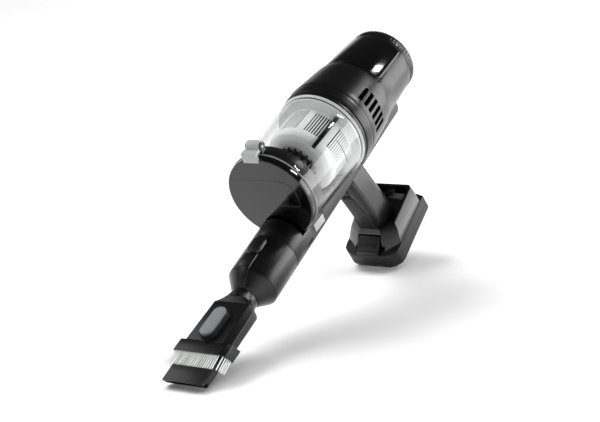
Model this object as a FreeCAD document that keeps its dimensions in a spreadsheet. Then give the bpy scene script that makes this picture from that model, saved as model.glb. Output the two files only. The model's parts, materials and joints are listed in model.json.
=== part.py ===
import FreeCAD, Part
import Sketcher
import math
import os
from FreeCAD import Placement, Rotation, Vector

# A cordless handheld vacuum with a clear dust cup, a raked handle on a battery foot
# and a crevice tool with a sliding brush.  Everything is drawn about the machine axis:
# x runs from the nose to the rear through the middle of the cup and the motor, y is the
# machine's left, z points away from the handle.  The last step stands it on the floor.

doc = FreeCAD.newDocument("handheld_vacuum")
sheet = doc.addObject("Spreadsheet::Sheet", "dims")

# alias, millimetres or degrees, what it drives
dimensions = [
    ("lid_radius", 57.5, "cup lid, outside radius"),
    ("lid_depth", 8.0, "cup lid, front face to rear edge"),
    ("cup_front", 9.4, "clear cup starts here"),
    ("cup_rear", 131.0, "clear cup ends here"),
    ("cup_radius", 58.2, "clear cup outside radius at the front"),
    ("cup_growth", 0.9, "the cup opens this much towards the rear"),
    ("cup_wall", 2.0, "clear cup wall"),
    ("ring_rear", 140.2, "rear face of the cup's black ring"),
    ("ring_radius", 60.8, "black ring, outside radius"),
    ("bore_radius", 50.0, "air path through the ring and the intake"),
    ("shroud_radius", 45.5, "cyclone shroud"),
    ("shroud_front", 67.0, "shroud starts here"),
    ("seam", 155.0, "joint line between intake ring and motor housing"),
    ("housing_radius", 61.9, "motor housing at the joint line"),
    ("shoulder", 212.0, "motor housing starts to draw in"),
    ("shoulder_radius", 55.6, "motor housing before it draws in"),
    ("rear_start", 219.5, "flat under the gloss cover starts here"),
    ("rear_radius", 51.4, "that flat at its front"),
    ("rear_end", 294.6, "motor housing ends here"),
    ("tail_radius", 46.4, "motor housing at its end"),
    ("shell", 2.6, "wall of the black mouldings"),
    ("cover_skin", 1.4, "gloss cover stands this proud"),
    ("cap_end", 311.0, "rear face of the filter cap"),
    ("fan_radius", 38.0, "impeller"),
    ("motor_radius", 27.0, "motor can"),
    ("motor_front", 177.0, "front of the motor can"),
    ("motor_rear", 232.0, "rear of the motor can"),
    ("shaft_radius", 3.0, "motor shaft"),
    ("pipe_radius", 31.8, "nozzle pipe and spine, outside radius"),
    ("pipe_drop", 58.3, "pipe axis below the cup axis, under the lid"),
    ("pipe_start", 4.9, "that point's place along the cup axis"),
    ("pipe_droop", 4.84, "degrees that the pipe points down to the front"),
    ("spine_half", 25.2, "spine, half width"),
    ("spine_end", 268.7, "rear end of the spine"),
    ("root_front", 34.0, "pipe root ahead of the lid"),
    ("barrel_front", 88.5, "front end of the tool barrel"),
    ("socket_radius", 20.2, "bore that takes a tool's spigot"),
    ("neck_front", 109.0, "cone meets the tool's neck"),
    ("neck_radius", 17.2, "tool neck"),
    ("tool_lift", 2.5, "degrees that the flat tool points up from the pipe"),
    ("tool_length", 144.0, "neck to the mouth of the flat tool"),
    ("tool_half", 29.1, "flat tool at its mouth, half width"),
    ("mouth_lean", 29.0, "degrees that the mouth leans, lower lip set back"),
    ("sleeve_rear", 22.0, "brush sleeve starts, ahead of the neck's start"),
    ("sleeve_front", 86.0, "brush sleeve meets its collar"),
    ("sleeve_half", 32.0, "brush sleeve, half width"),
    ("collar_front", 104.0, "bristles leave the collar"),
    ("collar_half", 37.5, "brush collar, half width"),
    ("brush_lean", 25.0, "degrees that the collar and its bristles lean"),
    ("bristle_length", 20.0, "bristles beyond the collar"),
    ("grip_rake", 20.0, "degrees that the handle leans back"),
    ("grip_top", 147.8, "handle axis meets the spine here"),
    ("grip_drop", 60.0, "that point below the cup axis"),
    ("grip_length", 133.0, "handle, spine to foot"),
    ("grip_depth_half", 23.0, "handle, half depth front to back"),
    ("grip_half", 18.5, "handle, half width"),
    ("grip_corner", 12.0, "handle, corner radius"),
    ("foot_pitch", 13.5, "degrees that the foot rises to the rear"),
    ("foot_along", 185.0, "foot reference point along the cup axis"),
    ("foot_drop", 190.0, "foot reference point below the cup axis"),
    ("foot_front", 45.0, "battery, reference point to the front"),
    ("foot_rear", 65.0, "battery, reference point to the rear"),
    ("foot_half", 41.0, "battery and foot, half width"),
    ("foot_top", 25.0, "rim of the foot above the reference point"),
    ("pack_depth", 22.5, "battery below the reference point"),
    ("pack_top", 2.8, "battery above the reference point"),
    ("pack_split", 10.0, "battery case splits here"),
    ("play", 0.3, "gap beside pieces that slide past each other"),
]
cells = {}
for row, (alias, amount, note) in enumerate(dimensions, start=1):
    sheet.set(f"A{row}", note)
    sheet.set(f"B{row}", str(amount))
    sheet.setAlias(f"B{row}", alias)
    cells[alias] = amount
doc.recompute()


def value(text):
    """A sum such as 'cup_radius - cup_wall' worked out from the sheet's cells."""
    total = 0.0
    sign = 1.0
    for word in str(text).split():
        if word in ("+", "-"):
            sign = 1.0 if word == "+" else -1.0
            continue
        total += sign * (sheet.get(word) if word in cells else float(word))
        sign = 1.0
    return total


def bound(text):
    """The same sum as an expression that the document keeps."""
    return " ".join("dims." + word if word in cells else word for word in str(text).split())


def bind(target, path, text):
    """Ties a size to the sheet where the sum names a cell, and sets it where it doesn't."""
    if any(word in cells for word in str(text).split()):
        target.setExpression(path, bound(text))
    else:
        setattr(target, path, value(text))


# Frames that the mouldings are drawn in, all given in the machine's own axes.
machine = Placement()
pipe = Placement(Vector(cells["pipe_start"], 0, -cells["pipe_drop"]), Rotation(Vector(0, 1, 0), -cells["pipe_droop"]))
tool = pipe.multiply(Placement(Vector(-cells["neck_front"], 0, 0), Rotation(Vector(0, 1, 0), cells["tool_lift"])))
grip = Placement(Vector(cells["grip_top"], 0, -cells["grip_drop"]), Rotation(Vector(0, 1, 0), -cells["grip_rake"]))
foot = Placement(Vector(cells["foot_along"], 0, -cells["foot_drop"]), Rotation(Vector(0, 1, 0), -cells["foot_pitch"]))

pieces = []
counter = {"helper": 0}


def keep(label, thing):
    thing.Label = label
    pieces.append(thing)
    return thing


def helperName(kind):
    counter["helper"] += 1
    return f"{kind}{counter['helper']}"


def originPlane(body, role):
    return next(item for item in body.Origin.OriginFeatures if item.Role == role)


def newBody(place):
    body = doc.addObject("PartDesign::Body", helperName("body"))
    body.Placement = place
    return body


def sketchOn(body, role, corners, offset=0.0):
    """A closed outline of straight runs, each corner tied to the sheet."""
    sketch = body.newObject("Sketcher::SketchObject", helperName("sketch"))
    sketch.AttachmentSupport = [(originPlane(body, role), "")]
    sketch.MapMode = "FlatFace"
    sketch.AttachmentOffset = Placement(Vector(0, 0, value(offset)), Rotation())
    places = [Vector(value(across), value(up), 0) for across, up in corners]
    count = len(places)
    for index, place in enumerate(places):
        sketch.addGeometry(Part.LineSegment(place, places[(index + 1) % count]), False)
    for index in range(count):
        sketch.addConstraint(Sketcher.Constraint("Coincident", index, 2, (index + 1) % count, 1))
    for index, corner in enumerate(corners):
        for kind, text in zip(("DistanceX", "DistanceY"), corner):
            number = sketch.addConstraint(Sketcher.Constraint(kind, index, 1, value(text)))
            if any(word in cells for word in str(text).split()):
                sketch.setExpression(f"Constraints[{number}]", bound(text))
    return sketch


def turned(label, place, corners, sweep=360.0):
    """A piece turned about its x axis from (along, radius) corners."""
    body = newBody(place)
    sketch = sketchOn(body, "XZ_Plane", corners)
    turn = body.newObject("PartDesign::Revolution", helperName("turn"))
    turn.Profile = sketch
    turn.ReferenceAxis = (sketch, ["H_Axis"])
    turn.Angle = sweep
    turn.Midplane = sweep < 360.0
    body.Tip = turn
    doc.recompute()
    return keep(label, body) if label else body


def padded(label, place, role, corners, start, length, both=False):
    """An outline drawn on an origin plane and padded along its normal."""
    body = newBody(place)
    sketch = sketchOn(body, role, corners, start)
    pad = body.newObject("PartDesign::Pad", helperName("pad"))
    pad.Profile = sketch
    bind(pad, "Length", length)
    if both:
        pad.SideType = "Symmetric"
    body.Tip = pad
    doc.recompute()
    return keep(label, body) if label else body


def lofted(label, place, sections):
    """Outlines across the x axis, each (x, corners), joined by flat sides."""
    body = newBody(place)
    sketches = [sketchOn(body, "YZ_Plane", corners, along) for along, corners in sections]
    loft = body.newObject("PartDesign::AdditiveLoft", helperName("loft"))
    loft.Profile = sketches[0]
    loft.Sections = sketches[1:]
    loft.Ruled = True
    body.Tip = loft
    doc.recompute()
    return keep(label, body) if label else body


def softened(body, chosen, radius, label=None, flat=False):
    """Rounds or chamfers the edges of the body's last feature that the test picks."""
    base = body.Tip
    names = [f"Edge{n}" for n, edge in enumerate(base.Shape.Edges, start=1) if chosen(edge)]
    if not names:
        raise RuntimeError(f"no edge to soften on {body.Label}")
    kind = "PartDesign::Chamfer" if flat else "PartDesign::Fillet"
    feature = body.newObject(kind, helperName("edge"))
    feature.Base = (base, names)
    if flat:
        feature.Size = radius
    else:
        feature.Radius = radius
    body.Tip = feature
    doc.recompute()
    return keep(label, body) if label else body


def block(place, x, y, z):
    """A box given by its lowest and highest x, y and z in a frame."""
    box = doc.addObject("Part::Box", helperName("box"))
    bind(box, "Length", f"{x[1]} - {x[0]}" if isinstance(x[1], str) or isinstance(x[0], str) else x[1] - x[0])
    bind(box, "Width", y[1] - y[0])
    bind(box, "Height", z[1] - z[0])
    box.Placement = place.multiply(Placement(Vector(value(x[0]), y[0], z[0]), Rotation()))
    return box


def rod(place, radius, start, length, across=False):
    """A cylinder along the frame's x axis, or across it along y, from its start point."""
    bar = doc.addObject("Part::Cylinder", helperName("rod"))
    bind(bar, "Radius", radius)
    bind(bar, "Height", length)
    lying = Rotation(Vector(1, 0, 0), -90) if across else Rotation(Vector(0, 1, 0), 90)
    bar.Placement = place.multiply(Placement(Vector(*start), lying))
    return bar


def joined(parts, label=None):
    fused = doc.addObject("Part::MultiFuse", helperName("join"))
    fused.Shapes = parts
    fused.Refine = True
    return keep(label, fused) if label else fused


def less(base, tools, label=None):
    cutter = tools[0] if len(tools) == 1 else joined(tools)
    cut = doc.addObject("Part::Cut", helperName("cut"))
    cut.Base = base
    cut.Tool = cutter
    return keep(label, cut) if label else cut


def shared(base, other, label=None):
    common = doc.addObject("Part::Common", helperName("common"))
    common.Base = base
    common.Tool = other
    return keep(label, common) if label else common


def grouped(parts, label):
    """Separate solids that share one node."""
    group = doc.addObject("Part::Compound", helperName("group"))
    group.Links = parts
    return keep(label, group)


def about(place, angle, start=(0, 0, 0)):
    """The same frame turned about its own x axis by an angle."""
    return place.multiply(Placement(Vector(*start), Rotation(Vector(1, 0, 0), angle)))


def eightSided(half, low, high, corner):
    """Corners of a rectangle across x with its four corners cut."""
    return [
        (-half + corner, low), (half - corner, low), (half, low + corner), (half, high - corner),
        (half - corner, high), (-half + corner, high), (-half, high - corner), (-half, low + corner),
    ]


def pinBetween(label, place, radius, x, z, half):
    return keep(label, rod(place, radius, (x, -half, z), 2 * half, across=True))


# ---- lid, hinge and latch of the dust cup ----
hingeAlong = 4.0
hingeDrop = 60.4
latchSide = 5.0
latchPin = (15.0, 66.2)


def makeLid():
    shell = turned(None, machine, [
        (0, 0), (0, "lid_radius"), ("lid_depth", "lid_radius"), ("lid_depth", 52.2), (2.6, 52.2), (2.6, 0),
    ])
    front = cells["lid_radius"]
    softened(shell, lambda e: abs(e.BoundBox.XMax) < 0.01 and e.BoundBox.ZMax > front - 0.1, 2.0)
    knuckle = rod(machine, 3.4, (hingeAlong, -8, -hingeDrop), 16, across=True)
    web = block(machine, (1.2, 7.0), (-8, 8), (-hingeDrop, -54))
    bore = rod(machine, 1.6, (hingeAlong, -9, -hingeDrop), 18, across=True)
    notch = block(machine, (-1, 9), (latchSide - 11.4, latchSide + 11.4), (52.9, 60))
    less(joined([shell, knuckle, web]), [bore, notch], "cup_lid")
    turned("lid_seal", machine, [(2.6, 49.0), (2.6, 51.6), (9.3, 51.6), (9.3, 49.0)])


def makeLatch():
    x, z = latchPin
    barrel = rod(machine, 7.2, (x, latchSide - 9.0, z), 18.0, across=True)
    plate = block(machine, (-2.2, x), (latchSide - 10.8, latchSide + 10.8), (62.8, 66.4))
    nose = block(machine, (-2.2, 1.6), (latchSide - 10.8, latchSide + 10.8), (53.4, 66.4))
    lugRoom = [
        block(machine, (x - 8, x + 8), (latchSide + side * 10.1 - 1.1, latchSide + side * 10.1 + 1.1), (55, 75))
        for side in (-1, 1)
    ]
    bore = rod(machine, 1.6, (x, latchSide - 12, z), 24, across=True)
    less(joined([barrel, plate, nose]), lugRoom + [bore], "lid_latch")
    stand = block(machine, (10.2, 21.5), (latchSide - 10.9, latchSide + 10.9), (56.0, 58.5))
    lugs = []
    for side in (-1, 1):
        middle = latchSide + side * 10.1
        lugs.append(rod(machine, 5.4, (x, middle - 0.8, z), 1.6, across=True))
        lugs.append(block(machine, (x - 4.2, x + 4.2), (middle - 0.8, middle + 0.8), (58.0, z)))
    inside = rod(machine, "cup_radius + 0.2", (5, 0, 0), 20)
    pinHole = rod(machine, 1.5, (x, latchSide - 12, z), 24, across=True)
    less(joined([stand] + lugs), [inside, pinHole], "latch_base")
    keep("latch_pin", rod(machine, 1.5, (x, latchSide - 10.9, z), 21.8, across=True))


# ---- dust cup and what separates the dust ----
inletStart = 92.0
inletEnd = 120.0
inletHalf = 15.0


def makeCup():
    clear = turned(None, machine, [
        ("cup_front", "cup_radius"), ("cup_rear", "cup_radius + cup_growth"),
        ("cup_rear", "cup_radius + cup_growth - cup_wall"), ("cup_front", "cup_radius - cup_wall"),
    ])
    port = block(machine, (inletStart, inletEnd), (-inletHalf, inletHalf), (-64, -50))
    less(clear, [port], "dust_cup")
    turned("cup_collar", machine, [
        ("cup_front", 46.0), ("cup_front", "cup_radius - cup_wall - 0.1"),
        (29.7, "cup_radius - cup_wall - 0.1"), (29.7, 53.4), (11.6, 53.4), (11.6, 46.0),
    ])
    lugs = []
    for side in (-1, 1):
        lugs.append(rod(machine, 3.4, (hingeAlong, side * 12.4 - 4, -hingeDrop), 8, across=True))
        lugs.append(block(machine, (hingeAlong, 15), (side * 12.4 - 4, side * 12.4 + 4), (-hingeDrop - 3.4, -55)))
    inside = rod(machine, "cup_radius + 0.2", (-1, 0, 0), 20)
    lidRoom = rod(machine, 58.1, (-2, 0, 0), 11.4)
    bore = rod(machine, 1.5, (hingeAlong, -20, -hingeDrop), 40, across=True)
    less(joined(lugs), [inside, lidRoom, bore], "hinge_lugs")
    pinBetween("hinge_pin", machine, 1.5, hingeAlong, -hingeDrop, 16.4)
    turned("cup_ring", machine, [
        ("cup_rear", "bore_radius"), ("cup_rear", "cup_radius + cup_growth"), (132.4, 60.2), (134.4, 60.2),
        (134.8, 59.5), (136.0, 59.5), (136.4, "ring_radius"), ("ring_rear", "ring_radius"),
        ("ring_rear", "bore_radius"),
    ])


def makeCyclone():
    wall = turned(None, machine, [
        ("shroud_front", 21.0), ("shroud_front", "shroud_radius - 15"), ("shroud_front + 2.5", "shroud_radius - 8"),
        ("shroud_front + 7", "shroud_radius - 2.6"), ("shroud_front + 13", "shroud_radius"), (127.4, "shroud_radius"),
        (127.4, "shroud_radius - 1.6"), ("shroud_front + 13.4", "shroud_radius - 1.6"),
        ("shroud_front + 7.8", "shroud_radius - 4.2"), ("shroud_front + 4", "shroud_radius - 9.2"),
        ("shroud_front + 1.6", "shroud_radius - 15.6"), ("shroud_front + 1.6", 21.0),
    ])
    groupCount = 8
    slotsInGroup = 8
    slots = []
    for group in range(groupCount):
        for n in range(slotsInGroup):
            around = 36.0 + 360.0 / groupCount * group + 4.3 * (n - (slotsInGroup - 1) / 2)
            slots.append(block(about(machine, around), (84, 121), (-1.0, 1.0), (40, 48)))
    less(wall, slots, "shroud")
    turned("shroud_flange", machine, [
        (127.4, 20.0), (127.4, "cup_radius + cup_growth - cup_wall - 0.2"),
        (130.9, "cup_radius + cup_growth - cup_wall - 0.2"), (130.9, 20.0),
    ])
    turned("vortex_finder", machine, [(78, 17.0), (78, 19.0), (127.4, 19.9), (127.4, 17.9)])
    core = turned(None, machine, [
        (47, 0), (47, 21), (66.7, 24.0), (66.7, 20.8), (69, 20.8), (69, 12), (63, 12), (63, 0),
    ])
    finCount = 20
    fins = [
        block(about(machine, 360.0 / finCount * n), (48, 66.7), (-0.9, 0.9), (15, 28.5)) for n in range(finCount)
    ]
    joined([core] + fins, "cyclone_cone")


# ---- filters, intake and motor ----
def makeIntake():
    turned("intake_seal", machine, [(140.3, 52), (140.3, 55.5), (142.0, 55.5), (142.0, 52)])
    turned("intake_ring", machine, [
        (140.6, 51.0), (140.6, 51.7), (142.0, 51.7), (142.0, 55.8), (140.6, 55.8), (140.6, "ring_radius"),
        ("seam - 0.3", "housing_radius - 0.1"), ("seam - 0.3", 46.6), (152.0, 46.6), (152.0, 51.0),
    ])
    turned("filter_frame", machine, [(141.2, 47.6), (141.2, 50.8), (151.9, 50.8), (151.9, 47.6)])
    turned("pre_motor_filter", machine, [(142.0, 0), (142.0, 47.5), (151.6, 47.5), (151.6, 0)])


def makeHousing():
    outer = turned(None, machine, [
        ("seam", "housing_radius"), ("shoulder", "shoulder_radius"), (218, 54.3), (226, 52.4), (236, 50.6), (248, 49.4),
        ("rear_end", "tail_radius"), ("rear_end", "tail_radius - shell"), (248, 46.6), (236, 47.4), (226, 48.4),
        (218, 49.4), ("shoulder - 3", 53.2), ("seam", "housing_radius - shell"),
    ])
    flat = turned(None, machine, [
        (213.6, 56.6), (217.6, 52.9), ("rear_start", "rear_radius"), (297, 46.2), (297, 60), (213.6, 60),
    ], sweep=125.0)
    ventCount = 6
    vents = []
    for side in (-1, 1):
        for n in range(ventCount):
            around = side * (56.5 + 9.3 * n)
            vents.append(block(about(machine, around), (164.8, 191.2), (-2.9, 2.9), (48, 66)))
    less(outer, vents + [flat], "motor_housing")
    cover = turned(None, machine, [
        (221.0, "rear_radius"), (291.0, 46.7), (291.0, "46.7 + cover_skin"), (289.5, "46.9 + cover_skin"),
        (222.5, "rear_radius + cover_skin"), (221.0, "rear_radius + 0.5"),
    ], sweep=124.4)
    keep("top_cover", cover)


def makeMotor():
    turned("fan_cover", machine, [
        (156.0, 20.0), (156.0, 45.0), (175.6, 45.0), (175.6, 43.4), (157.6, 43.4), (157.6, 20.0),
    ])
    hub = turned(None, machine, [
        (160.0, "shaft_radius"), (160.0, 8.0), (171.0, 11.0), (171.0, "fan_radius"), (172.6, "fan_radius"),
        (172.6, "shaft_radius"),
    ])
    bladeCount = 9
    blades = [
        block(about(machine, 360.0 / bladeCount * n), (160.5, 171.2), (-0.7, 0.7), (8, 36.5)) for n in range(bladeCount)
    ]
    joined([hub] + blades, "impeller")
    turned("motor_shaft", machine, [(157.6, 0), (157.6, "shaft_radius"), (240.0, "shaft_radius"), (240.0, 0)])
    turned("motor_can", machine, [
        ("motor_front", 8.0), ("motor_front", "motor_radius"), ("motor_rear + 4", "motor_radius"),
        ("motor_rear + 4", 8.0), ("motor_rear", 8.0), ("motor_rear - 2", "motor_radius - 1.6"),
        ("motor_front + 6", "motor_radius - 1.6"), ("motor_front + 5", 8.0),
    ])
    bearings = [
        turned(None, machine, [
            (start, "shaft_radius + 0.03"), (start, 8.0), (f"{start} + 4", 8.0), (f"{start} + 4", "shaft_radius + 0.03"),
        ]) for start in ("motor_front", "motor_rear")
    ]
    grouped(bearings, "motor_bearings")
    turned("rotor_core", machine, [(190, "shaft_radius"), (190, 15.0), (222, 15.0), (222, "shaft_radius")])
    turned("stator", machine, [(189, 15.6), (189, 25.3), (223, 25.3), (223, 15.6)])
    rubbers = []
    carriers = []
    for start, end, rim in ((192.0, 201.0, 53.6), (222.0, 231.0, 47.4)):
        rubbers.append(turned(None, machine, [
            (start, "motor_radius"), (start, 32.0), (end, 32.0), (end, "motor_radius"),
        ]))
        ring = turned(None, machine, [(start, 32.0), (start, rim), (end, rim), (end, 32.0)])
        holes = [
            rod(about(machine, 60.0 * n), 5.4, (start - 1, 0, (32.0 + rim) / 2), end - start + 2) for n in range(6)
        ]
        carriers.append(less(ring, holes))
    grouped(rubbers, "motor_mounts")
    grouped(carriers, "motor_carriers")
    board = turned(None, machine, [(243.0, 9.0), (243.0, 38.0), (244.6, 38.0), (244.6, 9.0)])
    chips = [
        block(machine, (244.5, 252.0), (-26, -14), (6, 20)), block(machine, (244.5, 249.0), (12, 24), (-8, 10)),
        rod(machine, 5.0, (244.5, 4, -24), 12),
    ]
    joined([board] + chips, "control_board")


def makeRearCap():
    cap = turned(None, machine, [
        ("rear_end + 0.4", 40.0), ("rear_end + 0.4", 45.6), (297.0, "tail_radius - 0.3"), (306.5, "tail_radius - 0.8"),
        ("cap_end - 1.2", 43.6), ("cap_end", 41.0), ("cap_end", 0), ("cap_end - 2.6", 0), ("cap_end - 2.6", 40.0),
    ])
    spigot = turned(None, machine, [(288.5, 41.2), (288.5, 43.3), ("rear_end + 1", 43.3), ("rear_end + 1", 41.2)])
    knurlCount = 60
    knurls = [
        block(about(machine, 360.0 / knurlCount * n), (297.2, 306.2), (-0.9, 0.9), (43.5, 46.4)) for n in range(knurlCount)
    ]
    slotCount = 20
    slots = [
        block(about(machine, 360.0 / slotCount * n), (300, 315), (-1.8, 1.8), (15, 35)) for n in range(slotCount)
    ]
    less(joined([cap, spigot] + knurls), slots, "rear_cap")
    turned("exhaust_filter", machine, [(262.0, 30.0), (262.0, 40.9), (306.0, 39.6), (306.0, 30.0)])
    turned("exhaust_filter_end", machine, [(259.6, 0), (259.6, 41.4), (261.9, 41.4), (261.9, 0)])


# ---- spine, nozzle pipe and tool barrel ----
def makeSpine():
    whole = rod(pipe, "pipe_radius", (-cells["root_front"], 0, 0), "root_front + spine_end")
    band = block(pipe, (-40, 280), (-cells["spine_half"], cells["spine_half"]), (-40, 40))
    root = rod(pipe, "pipe_radius", (-cells["root_front"], 0, 0), "root_front + 8")
    body = joined([shared(whole, band), root])
    room = turned(None, machine, [
        (-3.6, 0), (-3.6, 59.6), (60, 59.9), ("cup_rear - 1", 60.2), (130.4, 61.3), (140.5, 61.3),
        (140.5, "ring_radius"), ("seam", "housing_radius"), ("shoulder", "shoulder_radius"), (218, 54.3),
        (226, 52.4), (236, 50.6), (248, 49.4), (300, 46.1), (300, 0),
    ])
    hingeRoom = block(machine, (-3.6, 16.5), (-17.5, 17.5), (-65.4, -50))
    heelPlace = Placement(Vector(cells["spine_end"], 0, -cells["pipe_radius"]), Rotation(Vector(0, 1, 0), -45))
    heel = block(pipe.multiply(heelPlace), (-11, 11), (-40, 40), (-11, 11))
    mouth = rod(pipe, 28.6, (-40, 0, 0), 36)
    drop = shared(rod(pipe, 28.6, (-12, 0, 0), 132), block(pipe, (-12, 120), (-17.8, 17.8), (-29, -8.6)))
    lift = block(machine, (inletStart + 1, inletEnd - 1), (-inletHalf + 1, inletHalf - 1), (-72, -50))
    wiring = block(pipe, (126, 258), (-20, 20), (-26, -12))
    room2 = block(pipe, (126, 240), (-12, 12), (-20, 2))
    buttonRoom = block(machine, (27.6, 52.4), (-30, -19.5), (-70.6, -58.5))
    triggerRoom = block(grip, (-30, 6), (-8.0, 8.0), (-36, -5))
    pinRoom = rod(grip, 1.5, (-13.5, -20, -10.6), 40, across=True)
    cuts = [room, hingeRoom, heel, mouth, drop, lift, wiring, room2, buttonRoom, triggerRoom, pinRoom]
    less(body, cuts, "spine")
    keep("cup_release_button", block(machine, (28.0, 52.0), (-26.4, -21.9), (-70.2, -58.9)))


def makeBarrel():
    wall = turned(None, pipe, [
        ("- barrel_front", "socket_radius"), ("- barrel_front", "pipe_radius"), ("- root_front - 0.3", "pipe_radius"),
        ("- root_front - 0.3", 28.6), (-84.5, 28.6), (-84.5, 22.4), (-66, 22.4), (-66, "socket_radius"),
    ])
    key = block(pipe, (-88.3, -66.5), (-8.4, 8.4), (29.0, 32.5))
    seat = joined([
        block(pipe, (-57.5, -46.5), (-8.9, 8.9), (26, 34.4)), rod(pipe.multiply(upright(-57.5, 26)), 8.9, (0, 0, 0), 8.4),
        rod(pipe.multiply(upright(-46.5, 26)), 8.9, (0, 0, 0), 8.4),
    ])
    well = joined([
        block(pipe, (-57.5, -46.5), (-7.9, 7.9), (20, 40)), rod(pipe.multiply(upright(-57.5, 20)), 7.9, (0, 0, 0), 20),
        rod(pipe.multiply(upright(-46.5, 20)), 7.9, (0, 0, 0), 20),
    ])
    less(joined([wall, key, seat]), [well], "tool_barrel")
    joined([
        block(pipe, (-57.5, -46.5), (-7.4, 7.4), (24.2, 35.4)), rod(pipe.multiply(upright(-57.5, 24.2)), 7.4, (0, 0, 0), 11.2),
        rod(pipe.multiply(upright(-46.5, 24.2)), 7.4, (0, 0, 0), 11.2),
    ], "tool_release_button")


def upright(along, height):
    """A frame whose x axis points up, for round pieces that stand on a surface."""
    return Placement(Vector(along, 0, height), Rotation(Vector(0, 1, 0), -90))


# ---- crevice tool with its sliding brush ----
def makeTool():
    cone = turned(None, pipe, [
        ("- neck_front + 0.3", 15.2), ("- neck_front + 0.3", "neck_radius"), ("- barrel_front - 0.5", "pipe_radius"),
        ("- barrel_front - 0.5", 19.9), (-67.0, 19.9), (-67.0, 17.8), (-92, 17.8),
    ])
    facet = lofted(None, pipe, [(-89.0, [(-8.4, 20), (8.4, 20), (8.4, 32.5), (-8.4, 32.5)]),
                                (-108.4, [(-6.0, 12), (6.0, 12), (6.0, 17.6), (-6.0, 17.6)])])
    inside = rod(pipe, 15.2, (-112, 0, 0), 30)
    less(joined([cone, facet]), [inside, rod(pipe, 17.8, (-92, 0, 0), 30)], "tool_cone")
    neck = joined([rod(tool, "neck_radius", (-13.0, 0, 0), 12.2), rod(pipe, 15.0, (-112, 0, 0), 16)])
    flare = lofted(None, tool, [
        (-7.5, eightSided(16.6, -16.6, 16.6, 9.7)), (-13.0, eightSided(18.8, -15.2, 15.6, 8.6)),
        (-18.0, eightSided(23.2, -13.0, 13.8, 6.5)), (-21.3, eightSided(27.4, -11.6, 12.8, 5.0)),
    ])
    flat = lofted(None, tool, [
        (-20.0, mouthOutline(24.6, 22.6, -8.0, 8.0)), (-90.0, mouthOutline(25.8, 23.6, -7.4, 7.2)),
        (-100.0, mouthOutline(28.6, 25.9, -7.2, 6.8)), (-126.0, mouthOutline(28.9, 26.4, -7.0, 5.6)),
        ("- tool_length - 1", mouthOutline("tool_half", "tool_half - 1.7", -7.0, 3.9)),
    ])
    hollow = lofted(None, tool, [
        (-19.5, mouthOutline(22.8, 20.8, -6.2, 6.2)), (-90.0, mouthOutline(23.8, 21.6, -5.6, 5.4)),
        (-101.0, mouthOutline(26.4, 24.0, -5.4, 4.9)), (-126.0, mouthOutline(26.8, 24.4, -5.2, 3.7)),
        ("- tool_length - 2", mouthOutline("tool_half - 2.1", "tool_half - 3.7", -5.0, 2.0)),
    ])
    throat = lofted(None, tool, [
        (1.0, eightSided(13.4, -13.4, 13.4, 7.6)), (-12.0, eightSided(14.2, -13.0, 13.0, 7.4)),
        (-20.5, eightSided(22.8, -6.2, 6.2, 2.0)),
    ])
    lean = leaning("- tool_length", 3.9, cells["mouth_lean"])
    ahead = block(lean, (-30, 0), (-40, 40), (-30, 20))
    less(joined([neck, flare, flat]), [hollow, throat, rod(pipe, 13.2, (-112, 0, 0), 20), ahead], "crevice_nozzle")


def mouthOutline(half, topHalf, low, high):
    """Eight corners across the flat tool, widest below its top."""
    side = high - 3.0
    return [
        (f"- {half} + 1.2", low), (f"{half} - 1.2", low), (half, low + 1.2), (half, side),
        (topHalf, high), (opposite(topHalf), high), (f"- {half}", side), (f"- {half}", low + 1.2),
    ]


def opposite(text):
    """The same sum with every sign turned round."""
    words = f"+ {text}".replace("+ -", "-").split()
    return " ".join({"+": "-", "-": "+"}.get(word, word) for word in words)


def leaning(along, height, angle):
    """A frame on the tool whose z axis leans forward, for faces that are set back below."""
    return tool.multiply(Placement(Vector(value(along), 0, height), Rotation(Vector(0, 1, 0), -angle)))


def capsule(start, end, half, low, high):
    """A stadium-shaped block standing on the tool, from low to high."""
    return joined([
        block(tool, (start, end), (-half, half), (low, high)),
        rod(tool.multiply(upright(start, low)), half, (0, 0, 0), high - low),
        rod(tool.multiply(upright(end, low)), half, (0, 0, 0), high - low),
    ])


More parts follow.
